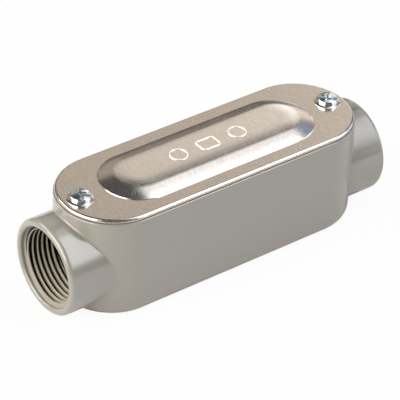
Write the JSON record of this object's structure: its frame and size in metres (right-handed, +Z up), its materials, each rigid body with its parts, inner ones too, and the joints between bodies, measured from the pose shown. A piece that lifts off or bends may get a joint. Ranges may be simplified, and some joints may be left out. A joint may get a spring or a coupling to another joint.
{
  "type": "conduit body",
  "caption": "Straight-through electrical conduit body: painted cast trough with a threaded hub at each end, under a screwed-on stamped aluminium cover with a raised pillow.",
  "frame": {"origin": "middle of the flat base, on the plane it stands on", "axes": "+X from the left hub to the right hub, +Y across the body, +Z up through the cover"},
  "size_m": [0.154, 0.0456, 0.049],
  "materials": {
    "housing_paint": "gloss warm-grey paint over die-cast aluminium",
    "gasket_rubber": "matt",
    "cover_sheet": "plain rolled sheet, fine grain, half bright",
    "screw_zinc": "bright zinc plate on steel"
  },
  "bodies": {
    "root": {"housing": "housing_paint", "gasket": "gasket_rubber", "cover": "cover_sheet", "cover_screw_left": "screw_zinc", "cover_screw_right": "screw_zinc"}
  },
  "joints": []
}
